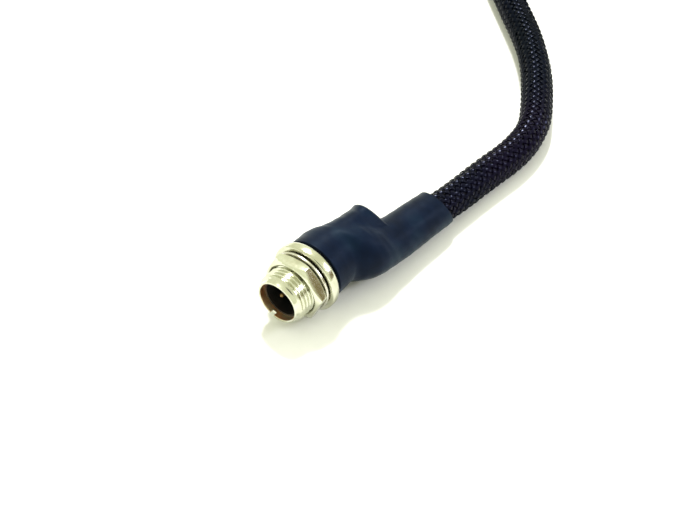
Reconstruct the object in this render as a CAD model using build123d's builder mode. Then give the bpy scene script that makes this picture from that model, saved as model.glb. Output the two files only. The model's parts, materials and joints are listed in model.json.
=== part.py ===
"""A 12 mm circular panel connector on a braided cable lead, with its in-line mating plug.

All sizes are in millimetres. +Z is up and the table is Z = 0. The connector lies on its flange with
its axis along X and its mouth towards -X. The cable leaves the heat-shrink boot at the back, crosses
the table and ends in a round coil with the far plug on top of it.

Along the connector, distances are counted from the plane of its mouth. Around it, angles are counted
from straight up, towards -Y.
"""

import os
from math import cos, pi, radians, sin, tan

from build123d import *

# Where the connector lies: the mouth's plane, and the axis above the table
MOUTH_X = -24.39
AXIS_Y = 1.9
FLANGE_R = 8.4
AXIS_Z = FLANGE_R

# Threaded barrel, M12 x 1
PITCH = 1.0
THREAD_R = 6.0
ROOT_R = 5.42
LEAD_IN = 1.0
RIM_R = 5.3
MOUTH_R = 4.77
MOUTH_DEPTH = 1.75
THREAD_TURNS = 8

# Flange and the collar behind it
FLANGE_FRONT = LEAD_IN + THREAD_TURNS * PITCH
FLANGE_EDGE_END = 10.7
FLANGE_END = 12.3
NECK_R = 7.3
COLLAR_R = 6.2
COLLAR_END = 18.5
BARREL_BORE_R = 4.92
COLLAR_BORE_R = 5.4
COLLAR_BORE_START = 13.6

# Keyway in the rim and key inside the mouth
SLOT_ANGLE = 199.5
SLOT_WIDTH = 1.0
SLOT_DEPTH = 1.0
KEY_ANGLE = 31.5
KEY_WIDTH = 0.9
KEY_HEIGHT = 0.45

# Nut and washer
NUT_FLATS = 14.0
NUT_FRONT = 4.8
NUT_THICK = 3.05
NUT_BORE_R = THREAD_R + 0.06
NUT_SINK_R = 6.45
NUT_VERTEX_ANGLE = 24.2
WASHER_FRONT = 7.97
WASHER_THICK = 0.6
WASHER_R = 7.5

# Contact insert, pins and what is soldered to them
PIN_COUNT = 4
PIN_CIRCLE_R = 2.3
PIN_R = 0.5
PIN_TIP = 3.1
INSERT_R = 4.9
INSERT_WALL = 0.55
INSERT_FLOOR = 7.2
INSERT_END = 15.2
CUP_R = 0.95
CUP_BORE_R = 0.62
CUP_START = 16.6
CUP_END = 20.6
WIRE_R = 0.8
STRAND_R = 0.5
WIRE_START = 21.2
SLEEVE_R = 1.35
SLEEVE_WALL = 0.3

# Heat-shrink boot: distance from the mouth, offset from the axis line in Y, height, outer radius
BOOT_WALL = 0.65
FRONT_BOOT = [
    (12.4, 0.0, 8.4, 7.3),
    (17.0, -0.1, 8.35, 7.4),
    (20.4, -1.1, 8.25, 7.65),
    (24.8, -2.9, 8.1, 7.95),
    (29.8, -4.5, 7.9, 7.75),
    (32.8, -5.4, 6.9, 6.65),
    (35.6, -6.2, 5.65, 5.5),
]
REAR_BOOT = [
    (31.6, -5.4, 5.7, 4.62),
    (36.0, -6.3, 5.6, 4.7),
    (42.0, -7.0, 5.15, 4.95),
    (48.2, -7.7, 4.6, 4.5),
]

# Cable: a braided sleeve over the wire bundle. Its route across the table is counted like the boot's.
CORD_R = 3.75
LEAD_ROUTE = [
    (37.5, -6.5, 5.45),
    (45.0, -7.3, 4.95),
    (54.0, -8.3, 3.95),
    (65.5, -9.6, 3.8),
    (77.0, -11.3, 3.75),
    (87.0, -9.6, 3.75),
    (95.5, -4.4, 3.75),
    (105.0, 2.6, 3.75),
    (114.5, 11.4, 3.75),
    (124.0, 23.0, 3.75),
    (134.5, 35.4, 3.75),
    (148.5, 48.4, 3.75),
    (165.6, 60.1, 4.1),
    (183.0, 70.3, 4.65),
]
COIL_CENTRE = (206.7, 35.0)
COIL_R = 38.5
COIL_STEP = 7.8
COIL_CLEAR = 0.15
COIL_LIFT = 0.9
STRAP_ANGLES = (-60, 205)
STRAP_WIDTH = 12.0
STRAP_THICK = 0.8
STRAP_EASE = 1.6

# The cable's end climbs from the coil: angle, radius and height of each point, then the plug
TAIL_ROUTE = [
    (136.0, 42.2, 12.7),
    (125.5, 42.2, 13.5),
    (115.0, 42.3, 15.4),
    (105.0, 42.4, 17.7),
    (94.5, 41.3, 20.2),
    (83.0, 39.0, 22.6),
    (71.5, 35.9, 24.3),
]
PLUG_REAR = (60.8, 33.4)
PLUG_HEADING = -46.0
PLUG_CORD_DEPTH = 1.5
PLUG_R = 8.5
GRIP_GROOVES = 24


def along(origin, direction):
    """A plane whose x runs along a level piece's axis and whose y is the radius, straight up."""
    heading = Vector(*direction).normalized()
    return Plane(origin=origin, x_dir=heading, z_dir=heading.cross(Vector(0, 0, 1)))


def across(plane, distance):
    """A plane square to a piece's axis, its x pointing up, at a distance along the axis."""
    centre = plane.origin + plane.x_dir * distance
    return Plane(origin=centre, x_dir=plane.y_dir, z_dir=plane.x_dir)


def turn(outline, plane, mode=Mode.ADD):
    """Revolves an outline of (distance, radius) points about the plane's x axis."""
    with BuildSketch(plane) as face:
        with BuildLine():
            Polyline(*outline, close=True)
        make_face()
    revolve(face.sketch, axis=Axis(plane.origin, plane.x_dir), mode=mode)


def ring(start, end, inner, outer, plane, mode=Mode.ADD):
    """A plain ring between two distances and two radii."""
    turn([(start, inner), (end, inner), (end, outer), (start, outer)], plane, mode)


def around(radius, angle):
    """A point at an angle on a circle, in the coordinates of across()."""
    return radius * cos(radians(angle)), radius * sin(radians(angle))


def finish(piece, name):
    """Labels a piece and writes its file."""
    piece.part.label = name
    export_step(piece.part, f"parts/{name}.step")


def placed(point):
    """A point counted from the mouth and the axis line, in the part's frame."""
    x, y, z = point
    return (MOUTH_X + x, AXIS_Y + y, z)


def arc_radii(route):
    """For each corner, the largest arc that leaves a tenth of the shorter run straight."""
    radii = []
    for before, corner, after in zip(route, route[1:], route[2:]):
        run_in = Vector(*corner) - Vector(*before)
        run_out = Vector(*after) - Vector(*corner)
        half_turn = radians(run_in.get_angle(run_out)) / 2
        radii.append(0.45 * min(run_in.length, run_out.length) / tan(half_turn))
    return radii


def tube(route, radius):
    """A round tube along straight runs joined by tangent arcs, added to the part in hand."""
    with BuildLine() as path:
        FilletPolyline(*route, radius=arc_radii(route))
    with BuildSketch(Plane(origin=path.line @ 0, z_dir=path.line % 0)) as section:
        Circle(radius)
    sweep(section.sketch, path=path.line)
    return sum(edge.length for edge in path.edges())


os.makedirs("parts", exist_ok=True)

nose = along((MOUTH_X, AXIS_Y, AXIS_Z), (1, 0, 0))

# Receptacle shell: threaded barrel, flange and collar, turned in one piece
thread = []
for turn_number in range(THREAD_TURNS):
    start = LEAD_IN + turn_number * PITCH
    thread += [
        (start, ROOT_R),
        (start + 0.42 * PITCH, THREAD_R),
        (start + 0.58 * PITCH, THREAD_R),
    ]
with BuildPart() as receptacle_shell:
    turn(
        [
            (0.12, MOUTH_R),
            (0, MOUTH_R + 0.12),
            (0, RIM_R - 0.12),
            (0.12, RIM_R),
            (LEAD_IN - 0.1, RIM_R),
            *thread,
            (FLANGE_FRONT, ROOT_R),
            (FLANGE_FRONT, FLANGE_R - 0.25),
            (FLANGE_FRONT + 0.25, FLANGE_R),
            (FLANGE_EDGE_END, FLANGE_R),
            (FLANGE_EDGE_END + 0.5, FLANGE_R - 0.2),
            (FLANGE_END - 0.35, NECK_R + 0.15),
            (FLANGE_END, NECK_R - 0.4),
            (FLANGE_END, COLLAR_R),
            (COLLAR_END - 0.3, COLLAR_R),
            (COLLAR_END, COLLAR_R - 0.3),
            (COLLAR_END, COLLAR_BORE_R),
            (COLLAR_BORE_START, COLLAR_BORE_R),
            (COLLAR_BORE_START, BARREL_BORE_R),
            (MOUTH_DEPTH, BARREL_BORE_R),
            (MOUTH_DEPTH, MOUTH_R),
        ],
        nose,
    )
    with BuildSketch(across(nose, 0)):
        with Locations(around((MOUTH_R + RIM_R) / 2, SLOT_ANGLE)):
            Rectangle(1.6, SLOT_WIDTH, rotation=SLOT_ANGLE)
    extrude(amount=SLOT_DEPTH, mode=Mode.SUBTRACT)
    with BuildSketch(across(nose, 0.3)):
        with Locations(around(MOUTH_R - KEY_HEIGHT / 2 + 0.1, KEY_ANGLE)):
            Rectangle(KEY_HEIGHT + 0.2, KEY_WIDTH, rotation=KEY_ANGLE)
    extrude(amount=MOUTH_DEPTH - 0.3)
finish(receptacle_shell, "receptacle_shell")

# Hex nut, chamfered at 30 degrees on both sides
nut_end = NUT_FRONT + NUT_THICK
nut_corner_r = NUT_FLATS / 2 / cos(pi / 6)
nut_drop = (nut_corner_r - NUT_FLATS / 2 + 0.35) * tan(pi / 6)
with BuildPart() as hex_nut:
    with BuildSketch(across(nose, NUT_FRONT)):
        RegularPolygon(NUT_FLATS / 2, 6, major_radius=False, rotation=NUT_VERTEX_ANGLE)
    extrude(amount=NUT_THICK)
    turn(
        [
            (NUT_FRONT, NUT_FLATS / 2 - 0.35),
            (NUT_FRONT + nut_drop, nut_corner_r + 0.01),
            (nut_end - nut_drop, nut_corner_r + 0.01),
            (nut_end, NUT_FLATS / 2 - 0.35),
            (nut_end, NUT_BORE_R + 0.3),
            (nut_end - 0.3, NUT_BORE_R),
            (NUT_FRONT + 0.4, NUT_BORE_R),
            (NUT_FRONT, NUT_SINK_R),
        ],
        nose,
        Mode.INTERSECT,
    )
finish(hex_nut, "hex_nut")

# Plain washer between the nut and the panel
with BuildPart() as panel_washer:
    washer_end = WASHER_FRONT + WASHER_THICK
    turn(
        [
            (WASHER_FRONT, THREAD_R + 0.15),
            (washer_end, THREAD_R + 0.15),
            (washer_end, WASHER_R - 0.1),
            (washer_end - 0.1, WASHER_R),
            (WASHER_FRONT + 0.1, WASHER_R),
            (WASHER_FRONT, WASHER_R - 0.1),
        ],
        nose,
    )
finish(panel_washer, "panel_washer")

# Contact insert: a moulded block with a hole for each pin, and the lining of the barrel in front of it
pin_angles = [45 + 90 * number for number in range(PIN_COUNT)]
with BuildPart() as contact_insert:
    turn(
        [
            (INSERT_FLOOR, 0),
            (INSERT_FLOOR, INSERT_R),
            (COLLAR_BORE_START + 0.02, INSERT_R),
            (COLLAR_BORE_START + 0.02, COLLAR_BORE_R - 0.02),
            (INSERT_END, COLLAR_BORE_R - 0.02),
            (INSERT_END, 0),
        ],
        nose,
    )
    with BuildSketch(across(nose, INSERT_FLOOR)):
        for angle in pin_angles:
            with Locations(around(PIN_CIRCLE_R, angle)):
                Circle(PIN_R + 0.02)
    extrude(amount=INSERT_END - INSERT_FLOOR, mode=Mode.SUBTRACT)
finish(contact_insert, "contact_insert")

with BuildPart() as insert_lining:
    ring(MOUTH_DEPTH, INSERT_FLOOR - 0.02, INSERT_R - INSERT_WALL, INSERT_R, nose)
finish(insert_lining, "insert_lining")

# Sprung ring that holds the insert in the collar
with BuildPart() as retaining_ring:
    ring(INSERT_END, INSERT_END + 0.8, 4.3, COLLAR_BORE_R - 0.02, nose)
    with BuildSketch(across(nose, INSERT_END)):
        with Locations(around(COLLAR_BORE_R, 180)):
            Rectangle(3.0, 2.2, rotation=180)
    extrude(amount=0.8, mode=Mode.SUBTRACT)
finish(retaining_ring, "retaining_ring")

# Pins: a rounded tip in the mouth, a shank in the insert and a solder cup behind
for number, angle in enumerate(pin_angles, start=1):
    y_offset, z_offset = -around(PIN_CIRCLE_R, angle)[1], around(PIN_CIRCLE_R, angle)[0]
    pin_line = along((MOUTH_X, AXIS_Y + y_offset, AXIS_Z + z_offset), (1, 0, 0))
    with BuildPart() as contact_pin:
        turn(
            [
                (PIN_TIP, 0),
                (PIN_TIP + 0.08, 0.26),
                (PIN_TIP + 0.32, 0.44),
                (PIN_TIP + 0.6, PIN_R),
                (CUP_START - 0.4, PIN_R),
                (CUP_START, CUP_R),
                (CUP_END, CUP_R),
                (CUP_END, CUP_BORE_R),
                (CUP_START + 0.8, CUP_BORE_R),
                (CUP_START + 0.8, 0),
            ],
            pin_line,
        )
        with BuildSketch(across(pin_line, CUP_END - 2.0)):
            with Locations((CUP_R, 0)):
                Rectangle(2 * CUP_R, 2 * CUP_R)
        extrude(amount=2.5, mode=Mode.SUBTRACT)
    finish(contact_pin, f"contact_pin_{number}")

# Wires: from each solder cup, the four run together into the end of the braided sleeve
bundle = Vector(*placed(LEAD_ROUTE[0]))
for number, angle in enumerate(pin_angles, start=1):
    y_offset, z_offset = -around(PIN_CIRCLE_R, angle)[1], around(PIN_CIRCLE_R, angle)[0]
    cup_y, cup_z = AXIS_Y + y_offset, AXIS_Z + z_offset
    end_y, end_z = bundle.Y + 0.62 * y_offset, bundle.Z + 0.62 * z_offset
    route = [
        (MOUTH_X + WIRE_START, cup_y, cup_z),
        (MOUTH_X + 25.2, cup_y - 0.3, cup_z - 0.2),
        (MOUTH_X + 32.0, end_y + 1.3, end_z + 0.6),
        (bundle.X - 0.3, end_y, end_z),
    ]
    with BuildPart() as wire:
        tube(route, WIRE_R)
    finish(wire, f"wire_{number}")

# Bare strands soldered into the cups, and the small sleeves shrunk over the joints
with BuildPart() as soldered_strands:
    for angle in pin_angles:
        with BuildSketch(across(nose, CUP_START + 0.85)):
            with Locations(around(PIN_CIRCLE_R, angle)):
                Circle(STRAND_R)
        extrude(amount=WIRE_START - CUP_START - 0.9)
finish(soldered_strands, "soldered_strands")

with BuildPart() as joint_sleeves:
    for angle in pin_angles:
        with BuildSketch(across(nose, CUP_START + 0.3)):
            with Locations(around(PIN_CIRCLE_R, angle)):
                Circle(SLEEVE_R)
                Circle(SLEEVE_R - SLEEVE_WALL, mode=Mode.SUBTRACT)
        extrude(amount=CUP_END - CUP_START + 1.2)
finish(joint_sleeves, "joint_sleeves")


def shrunk_tube(stations, wall):
    """A shrunk sleeve through (distance, Y offset, height, outer radius) stations."""
    centres = [Vector(*placed(station[:3])) for station in stations]
    for inset, mode in ((0, Mode.ADD), (wall, Mode.SUBTRACT)):
        sections = []
        for index, (centre, station) in enumerate(zip(centres, stations)):
            last, following = centres[max(index - 1, 0)], centres[min(index + 1, len(centres) - 1)]
            with BuildSketch(Plane(origin=centre, z_dir=following - last)) as section:
                Circle(station[3] - inset)
            sections.append(section.sketch)
        loft(sections, mode=mode)


with BuildPart() as boot_front:
    shrunk_tube(FRONT_BOOT, BOOT_WALL)
finish(boot_front, "boot_front")

with BuildPart() as boot_rear:
    shrunk_tube(REAR_BOOT, BOOT_WALL)
finish(boot_rear, "boot_rear")

# Cable: the sleeved bundle on the table
lead_route = [placed(point) for point in LEAD_ROUTE]
print("lead arc radii", [round(radius, 1) for radius in arc_radii(lead_route)])
with BuildPart() as cable_lead:
    lead_length = tube(lead_route, CORD_R)
print("lead length", round(lead_length, 1))
print("lead volume over section times length", cable_lead.part.volume / (pi * CORD_R**2 * lead_length))
finish(cable_lead, "cable_lead")

# Coil: the outer shape of the turns, two side by side and two high
coil_x, coil_y, _ = placed((*COIL_CENTRE, 0))
coil_inner = COIL_R - COIL_STEP / 2 - CORD_R - COIL_CLEAR
coil_outer = COIL_R + COIL_STEP / 2 + CORD_R + COIL_CLEAR
coil_middle = (coil_inner + coil_outer) / 2
coil_width = coil_outer - coil_inner
coil_height = 2 * CORD_R + COIL_STEP
coil_top = COIL_LIFT + coil_height
with BuildPart() as cable_coil:
    with BuildSketch(Plane(origin=(coil_x, coil_y, 0), x_dir=(1, 0, 0), z_dir=(0, -1, 0))):
        with Locations((coil_middle, COIL_LIFT + coil_height / 2)):
            RectangleRounded(coil_width, coil_height, CORD_R - 0.3)
    revolve(axis=Axis((coil_x, coil_y, 0), (0, 0, 1)))
finish(cable_coil, "cable_coil")

# Hook-and-loop straps round the coil
for number, angle in enumerate(STRAP_ANGLES, start=1):
    heading = Vector(cos(radians(angle)), sin(radians(angle)), 0)
    strap_plane = Plane(
        origin=Vector(coil_x, coil_y, COIL_LIFT + coil_height / 2) + heading * coil_middle,
        x_dir=heading,
        z_dir=heading.cross(Vector(0, 0, 1)),
    )
    with BuildPart() as coil_strap:
        with BuildSketch(strap_plane):
            RectangleRounded(coil_width + STRAP_EASE + 2 * STRAP_THICK, coil_height + 2 * COIL_LIFT, CORD_R + 0.4)
            RectangleRounded(coil_width + STRAP_EASE, coil_height + 0.1, CORD_R - 0.3, mode=Mode.SUBTRACT)
        extrude(amount=STRAP_WIDTH / 2, both=True)
    finish(coil_strap, f"coil_strap_{number}")

# The plug lies along a chord of the coil, its nose forward. Distances are counted from its back.
plug_z = coil_top + PLUG_R + COIL_CLEAR
plug_rear = Vector(
    coil_x + PLUG_REAR[1] * cos(radians(PLUG_REAR[0])),
    coil_y + PLUG_REAR[1] * sin(radians(PLUG_REAR[0])),
    plug_z,
)
plug = along(plug_rear, (cos(radians(PLUG_HEADING)), sin(radians(PLUG_HEADING)), 0))

# The last stretch of cable climbs from the upper turns to the plug
tail_route = []
for angle, radius, height in TAIL_ROUTE:
    turned_x, turned_y = around(radius, angle)
    tail_route.append((coil_x + turned_x, coil_y + turned_y, height))
tail_route.append(tuple(plug.origin + plug.x_dir * PLUG_CORD_DEPTH))
print("tail arc radii", [round(radius, 1) for radius in arc_radii(tail_route)])
with BuildPart() as cable_tail:
    tail_length = tube(tail_route, CORD_R)
print("tail length", round(tail_length, 1))
finish(cable_tail, "cable_tail")

# Plug body: the nose that enters the mouth, a groove for the ring and a threaded back
with BuildPart() as plug_body:
    turn(
        [
            (16, 5.0),
            (16, 6.0),
            (22, 6.0),
            (22, 7.2),
            (24, 7.2),
            (24, 5.6),
            (32.6, 5.6),
            (32.6, 5.3),
            (39, 5.3),
            (39, 4.7),
            (40.6, 4.7),
            (40.6, 4.25),
            (45.7, 4.25),
            (46, 3.95),
            (46, 3.62),
            (20, 3.62),
            (20, 5.0),
        ],
        plug,
    )
    with BuildSketch(across(plug, 39)):
        with Locations(around(4.6, 90)):
            Rectangle(0.9, 1.1, rotation=90)
    extrude(amount=2, mode=Mode.SUBTRACT)
finish(plug_body, "plug_body")

# Coupling ring: turns freely on the body and screws on to the barrel's thread
with BuildPart() as plug_coupling_ring:
    turn(
        [
            (24.3, 5.66),
            (24.3, PLUG_R - 0.5),
            (24.8, PLUG_R),
            (43.5, PLUG_R),
            (44, PLUG_R - 0.5),
            (44, 6.35),
            (43.7, NUT_BORE_R),
            (26.5, NUT_BORE_R),
            (26.5, 5.66),
        ],
        plug,
    )
    with BuildSketch(across(plug, 27)):
        with PolarLocations(PLUG_R + 0.25, GRIP_GROOVES):
            Circle(0.6)
    extrude(amount=14, mode=Mode.SUBTRACT)
finish(plug_coupling_ring, "plug_coupling_ring")

with BuildPart() as plug_ring_clip:
    ring(26.7, 27.4, 5.62, 6.0, plug)
finish(plug_ring_clip, "plug_ring_clip")

with BuildPart() as plug_insert:
    ring(28, 45.4, 0, 3.6, plug)
    with BuildSketch(across(plug, 28)):
        with PolarLocations(PIN_CIRCLE_R, PIN_COUNT, start_angle=45):
            Circle(0.87)
    extrude(amount=17.4, mode=Mode.SUBTRACT)
finish(plug_insert, "plug_insert")

# Socket contacts and the wires soldered to them
with BuildPart() as plug_contacts:
    with BuildSketch(across(plug, 25)):
        with PolarLocations(PIN_CIRCLE_R, PIN_COUNT, start_angle=45):
            Circle(0.85)
    extrude(amount=20)
    with BuildSketch(across(plug, 36)):
        with PolarLocations(PIN_CIRCLE_R, PIN_COUNT, start_angle=45):
            Circle(PIN_R + 0.03)
    extrude(amount=9, mode=Mode.SUBTRACT)
finish(plug_contacts, "plug_contacts")

with BuildPart() as plug_wires:
    with BuildSketch(across(plug, PLUG_CORD_DEPTH + 0.5)):
        with PolarLocations(PIN_CIRCLE_R, PIN_COUNT, start_angle=45):
            Circle(WIRE_R)
    extrude(amount=24.9 - PLUG_CORD_DEPTH - 0.5)
finish(plug_wires, "plug_wires")

# Back cap, its locking screw and the sleeve shrunk over its tail
with BuildPart() as plug_cap:
    turn(
        [
            (6, 4.2),
            (6, 5.2),
            (12, 5.2),
            (15, 7.2),
            (21.9, 7.2),
            (21.9, 6.04),
            (15.9, 6.04),
            (15.9, 4.2),
        ],
        plug,
    )
    with BuildSketch(Plane(origin=plug.origin + plug.x_dir * 18.9, z_dir=(0, 0, 1))):
        Circle(1.15)
    extrude(amount=8, mode=Mode.SUBTRACT)
finish(plug_cap, "plug_cap")

screw_foot = plug.origin + plug.x_dir * 18.9 + Vector(0, 0, 6.05)
with BuildPart() as plug_cap_screw:
    with BuildSketch(Plane(origin=screw_foot, x_dir=plug.x_dir, z_dir=(0, 0, 1))):
        Circle(1.12)
    extrude(amount=1.0)
    with BuildSketch(Plane(origin=screw_foot + Vector(0, 0, 0.5), x_dir=plug.x_dir, z_dir=(0, 0, 1))):
        Rectangle(3, 0.35)
    extrude(amount=1, mode=Mode.SUBTRACT)
finish(plug_cap_screw, "plug_cap_screw")

with BuildPart() as plug_boot:
    turn(
        [
            (-2, 4.2),
            (-2, 4.7),
            (3.5, 4.7),
            (6, 5.9),
            (11, 5.9),
            (11, 5.25),
            (5.9, 5.25),
            (3.5, 4.0),
        ],
        plug,
    )
finish(plug_boot, "plug_boot")
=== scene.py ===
# %% [markdown]
# # A round panel connector on a braided lead
#
# The object is a nickel-plated threaded socket with its nut and washer, a shrunk boot behind it, and a
# lead in a braided sleeve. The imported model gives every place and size, so it is loaded first, and all
# that follows is built on it. Lengths are in metres. MM turns the millimetres that a maker thinks in
# into metres.

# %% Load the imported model
import json
from math import atan2, cos, pi, radians, sin, tau

import bpy
import numpy as np
from mathutils import Matrix, Vector

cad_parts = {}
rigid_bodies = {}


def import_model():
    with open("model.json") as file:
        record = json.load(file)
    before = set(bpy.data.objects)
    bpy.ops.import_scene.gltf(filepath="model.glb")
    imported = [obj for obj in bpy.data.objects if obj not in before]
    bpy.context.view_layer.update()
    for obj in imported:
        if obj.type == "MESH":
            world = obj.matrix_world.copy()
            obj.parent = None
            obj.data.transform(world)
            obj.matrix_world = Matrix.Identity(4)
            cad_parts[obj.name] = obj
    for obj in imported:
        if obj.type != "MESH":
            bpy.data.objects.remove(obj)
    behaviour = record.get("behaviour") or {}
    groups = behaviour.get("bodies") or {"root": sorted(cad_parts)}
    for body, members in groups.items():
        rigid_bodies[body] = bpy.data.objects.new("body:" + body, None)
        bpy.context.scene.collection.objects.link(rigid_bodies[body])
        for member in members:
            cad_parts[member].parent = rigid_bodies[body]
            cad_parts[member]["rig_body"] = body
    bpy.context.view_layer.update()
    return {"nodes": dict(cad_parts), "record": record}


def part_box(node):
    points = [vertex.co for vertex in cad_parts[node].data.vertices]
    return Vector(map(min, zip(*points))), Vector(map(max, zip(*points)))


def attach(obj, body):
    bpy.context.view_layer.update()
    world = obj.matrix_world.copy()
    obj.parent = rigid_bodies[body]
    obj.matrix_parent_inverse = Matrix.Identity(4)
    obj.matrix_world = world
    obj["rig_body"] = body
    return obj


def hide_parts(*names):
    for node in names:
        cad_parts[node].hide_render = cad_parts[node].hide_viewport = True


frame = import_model()
MM = 0.001
scene = bpy.context.scene
scene.view_settings.view_transform = "Standard"

shell_low, shell_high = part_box("receptacle_shell")
MOUTH = Vector((shell_low.x, (shell_low.y + shell_high.y) / 2, (shell_low.z + shell_high.z) / 2))
print("loaded", len(frame["nodes"]), "nodes; the mouth is at", [round(value, 5) for value in MOUTH])


def from_mouth(x, y, z):
    """A point counted in millimetres from the mouth, beside the axis, and above the table."""
    return Vector((MOUTH.x + x * MM, MOUTH.y + y * MM, z * MM))


# %% [markdown]
# ## The camera
#
# The object is seen from in front of its mouth, to one side, and from 45 degrees above. A long lens from
# over a foot away keeps the barrel nearly as large as the far end of the boot.

# %% The camera
CAMERA_TURN = radians(-51.84)
CAMERA_RISE = radians(45.27)
CAMERA_DISTANCE = 374.85 * MM
aim = from_mouth(25.80, 0.34, 0)
to_camera = Vector(
    (
        sin(CAMERA_TURN) * cos(CAMERA_RISE),
        -cos(CAMERA_TURN) * cos(CAMERA_RISE),
        sin(CAMERA_RISE),
    )
)
camera_data = bpy.data.cameras.new("camera")
camera_data.lens = 85
camera_data.sensor_width = 36
camera_data.clip_start = 0.01
camera = bpy.data.objects.new("camera", camera_data)
camera.location = aim + to_camera * CAMERA_DISTANCE
camera.rotation_euler = to_camera.to_track_quat("Z", "Y").to_euler()
scene.collection.objects.link(camera)
scene.camera = camera
print("camera at", [round(value, 4) for value in camera.location])

# %% [markdown]
# ## The cord's line
#
# The lead is one length of flexible cable, so it is one smooth line: across the table in a loose bend,
# then three turns of a coil, two side by side and two high, and up to the plug that lies on the coil.
# A NURBS spline of order 3 passes near its control points without a kink. Twelve or more points for
# each turn keep the coil round.

# %% The route's points
LEAD_ROUTE = [
    (37.5, -6.5, 5.45),
    (45.0, -7.3, 4.95),
    (54.0, -8.3, 4.1),
    (65.1, -9.1, 4.05),
    (76.4, -10.55, 4.05),
    (86.5, -9.0, 4.05),
    (95.2, -4.0, 4.05),
    (105.0, 2.6, 4.05),
    (114.5, 11.4, 4.05),
    (124.0, 23.0, 4.05),
    (134.5, 35.4, 4.05),
    (148.5, 48.4, 4.05),
    (165.6, 60.1, 4.2),
]
TAIL_ROUTE = [
    (125.5, 42.2, 13.5),
    (115.0, 42.3, 15.4),
    (105.0, 42.4, 17.7),
    (94.5, 41.3, 20.2),
    (83.0, 39.0, 22.6),
    (71.5, 35.9, 24.3),
]
coil_low, coil_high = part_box("cable_coil")
COIL_X, COIL_Y = (coil_low.x + coil_high.x) / 2, (coil_low.y + coil_high.y) / 2
COIL_START = 122.0
COIL_TURNS = 2.93
POINTS_A_TURN = 16
OUTER_R, INNER_R = 42.4, 34.6
LOWER_Z, UPPER_Z = 4.65, 12.45
# Turns from the coil's start at which the cable moves in, climbs on to itself, and moves out again
MOVE_IN, CLIMB, MOVE_OUT = (0.73, 0.97), (1.53, 1.77), (2.28, 2.52)
PLUG_HEADING = radians(-46.0)
PLUG_REAR = (60.8, 33.4, 24.85)
INTO_PLUG = 1.5


def beside_coil(angle, radius, height):
    """A point counted round the coil: degrees, and millimetres out and up."""
    return Vector(
        (
            COIL_X + radius * MM * cos(radians(angle)),
            COIL_Y + radius * MM * sin(radians(angle)),
            height * MM,
        )
    )


def between(value, start, end):
    """How far a value is from start to end, held within 0 and 1 and eased at both."""
    share = min(max((value - start) / (end - start), 0), 1)
    return share * share * (3 - 2 * share)


plug_axis = Vector((cos(PLUG_HEADING), sin(PLUG_HEADING), 0))
plug_rear = beside_coil(*PLUG_REAR)
route = [from_mouth(*point) for point in LEAD_ROUTE]
coil_count = int(COIL_TURNS * POINTS_A_TURN)
spread_out = 1 / cos(pi / POINTS_A_TURN)
for number in range(coil_count + 1):
    turns = number / POINTS_A_TURN
    moved_in = between(turns, *MOVE_IN) - between(turns, *MOVE_OUT)
    climbed = between(turns, *CLIMB)
    radius = (OUTER_R + (INNER_R - OUTER_R) * moved_in) * spread_out
    height = LOWER_Z + (UPPER_Z - LOWER_Z) * climbed
    route.append(beside_coil(COIL_START - 360 * turns, radius, height))
route += [beside_coil(*point) for point in TAIL_ROUTE]
route.append(plug_rear + plug_axis * INTO_PLUG * MM)
print("the cord's route has", len(route), "points")

# %% The bundle of wires, which is the cord's own line
BUNDLE_R = 3.12 * MM
SAME_PLACE = 1e-7
bundle_line = bpy.data.curves.new("wire_bundle", "CURVE")
bundle_line.dimensions = "3D"
line = bundle_line.splines.new("NURBS")
line.points.add(len(route) - 1)
for point, place in zip(line.points, route):
    point.co = (*place, 1)
    point.radius = BUNDLE_R
line.order_u = 3
line.use_endpoint_u = True
line.resolution_u = 12
bundle_line.bevel_depth = 0
wire_bundle = bpy.data.objects.new("wire_bundle", bundle_line)
scene.collection.objects.link(wire_bundle)
bpy.context.view_layer.update()

bare = bpy.data.meshes.new_from_object(wire_bundle)
centres = np.array([vertex.co for vertex in bare.vertices])
bpy.data.meshes.remove(bare)
# Each point already carries the bundle's radius, so the bevel adds no scale of its own
bundle_line.bevel_depth = 1.0
bundle_line.bevel_resolution = 5
bundle_line.use_fill_caps = True
steps = np.linalg.norm(np.diff(centres, axis=0), axis=1)
centres = centres[np.concatenate([[True], steps > SAME_PLACE])]
steps = steps[steps > SAME_PLACE]
along = np.concatenate([[0], np.cumsum(steps)])
CORD_LENGTH = float(along[-1])
print("cord length", round(CORD_LENGTH, 4), "from", len(centres), "points")

# %% [markdown]
# ## The braided sleeve
#
# The sleeve is an open braid: twelve flat ribbons wind one way and twelve the other, each of three
# shiny plastic filaments, and each passes over one crossing ribbon and under the next. Drawn as real
# ribbons, the braid has the saw-toothed outline and the rows of bright dashes that a bump map can't
# give. Each ribbon follows points read from the cord's line. The part near the connector gets the
# finer section, and the coil a plain one.

# %% Axes that travel along the line without twisting
SAMPLE = 0.25 * MM
SMOOTH_HALF = 4
stations = np.linspace(0, CORD_LENGTH, int(CORD_LENGTH / SAMPLE))
centre_at = np.column_stack([np.interp(stations, along, centres[:, axis]) for axis in range(3)])
smoothing = np.hanning(2 * SMOOTH_HALF + 1)
smoothing /= smoothing.sum()
before_start = 2 * centre_at[0] - centre_at[SMOOTH_HALF:0:-1]
past_end = 2 * centre_at[-1] - centre_at[-2 : -2 - SMOOTH_HALF : -1]
padded = np.concatenate([before_start, centre_at, past_end])
centre_at = np.column_stack([np.convolve(padded[:, axis], smoothing, "valid") for axis in range(3)])
heading_at = np.gradient(centre_at, axis=0)
heading_at /= np.linalg.norm(heading_at, axis=1)[:, None]
side_at = np.zeros_like(centre_at)
side = np.cross((0, 0, 1), heading_at[0])
for index, heading in enumerate(heading_at):
    side = side - heading * side.dot(heading)
    side /= np.linalg.norm(side)
    side_at[index] = side
lift_at = np.cross(heading_at, side_at)


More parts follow.
